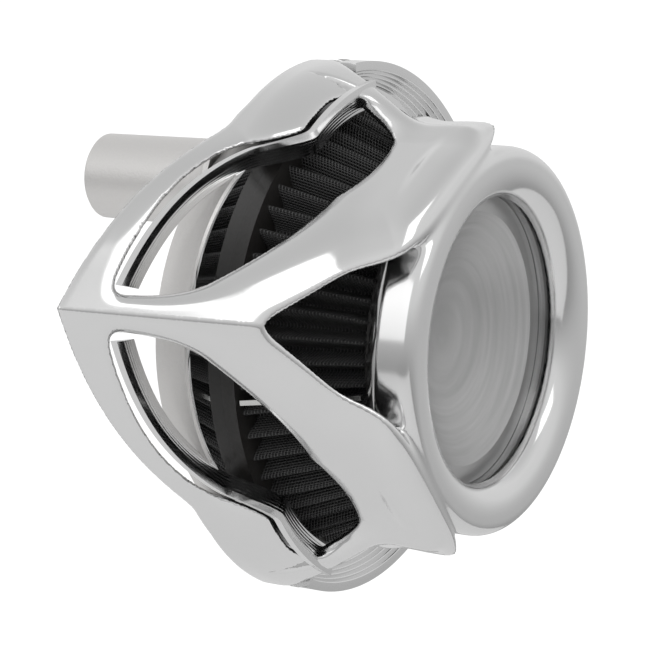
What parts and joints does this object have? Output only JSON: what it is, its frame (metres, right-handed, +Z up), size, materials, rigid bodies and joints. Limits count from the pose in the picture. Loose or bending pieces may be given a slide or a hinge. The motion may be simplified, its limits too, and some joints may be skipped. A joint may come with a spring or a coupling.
{
  "type": "motorcycle air cleaner",
  "caption": "Open teardrop air cleaner: chrome cover with round window, diagonal arms and stepped side openings over a conical pleated element, backplate and breather stand-offs.",
  "frame": {"origin": "centre of the throttle bore at the rear face of the backplate's neck", "axes": "+Z up; +Y in towards the engine, along the bore; -X towards the teardrop's point"},
  "size_m": [0.236, 0.1327, 0.1916],
  "materials": {
    "cover_chrome": "mirror chrome plating on cast aluminium",
    "clear_lens": "clear polished",
    "black_rubber": "smooth moulded",
    "zinc_steel": "zinc plated",
    "pleat_media": "black synthetic media under fine wire mesh",
    "wire_screen": "expanded steel",
    "element_cap": "satin moulded urethane",
    "polished_face": "polished",
    "satin_cast": "satin blasted",
    "spun_aluminium": "spun and fine brushed",
    "gasket_paper": "fibre gasket",
    "black_steel": "black oxide"
  },
  "bodies": {
    "backplate": {"face_plate": "polished_face", "backplate": "satin_cast", "velocity_stack": "spun_aluminium", "throttle_gasket": "gasket_paper", "throttle_screws": "black_steel", "breather_standoff_left": "satin_cast", "breather_standoff_right": "satin_cast", "breather_bolt_left": "zinc_steel", "breather_bolt_right": "zinc_steel", "breather_washers": "zinc_steel", "breather_seals": "black_rubber", "cover_screws": "black_steel", "cover_screw_washers": "zinc_steel"},
    "element": {"filter_pleats": "pleat_media", "filter_inner_screen": "wire_screen", "filter_front_cap": "element_cap", "filter_rear_cap": "element_cap", "filter_seam_clip": "zinc_steel", "element_dish": "spun_aluminium"},
    "cover": {"cover": "cover_chrome", "lens": "clear_lens", "lens_seal": "black_rubber", "lens_retaining_ring": "satin_cast", "lens_ring_screws": "zinc_steel"}
  },
  "joints": [
    {"name": "cover_lift", "type": "slide", "parent": "backplate", "child": "cover", "axis": [0, -1, 0], "range_m": [0, 0.16]},
    {"name": "element_lift", "type": "slide", "parent": "backplate", "child": "element", "axis": [0, -1, 0], "range_m": [0, 0.08]}
  ],
  "couplings": [
    {"joint": "element_lift", "follows": "cover_lift", "ratio": 0.5}
  ]
}
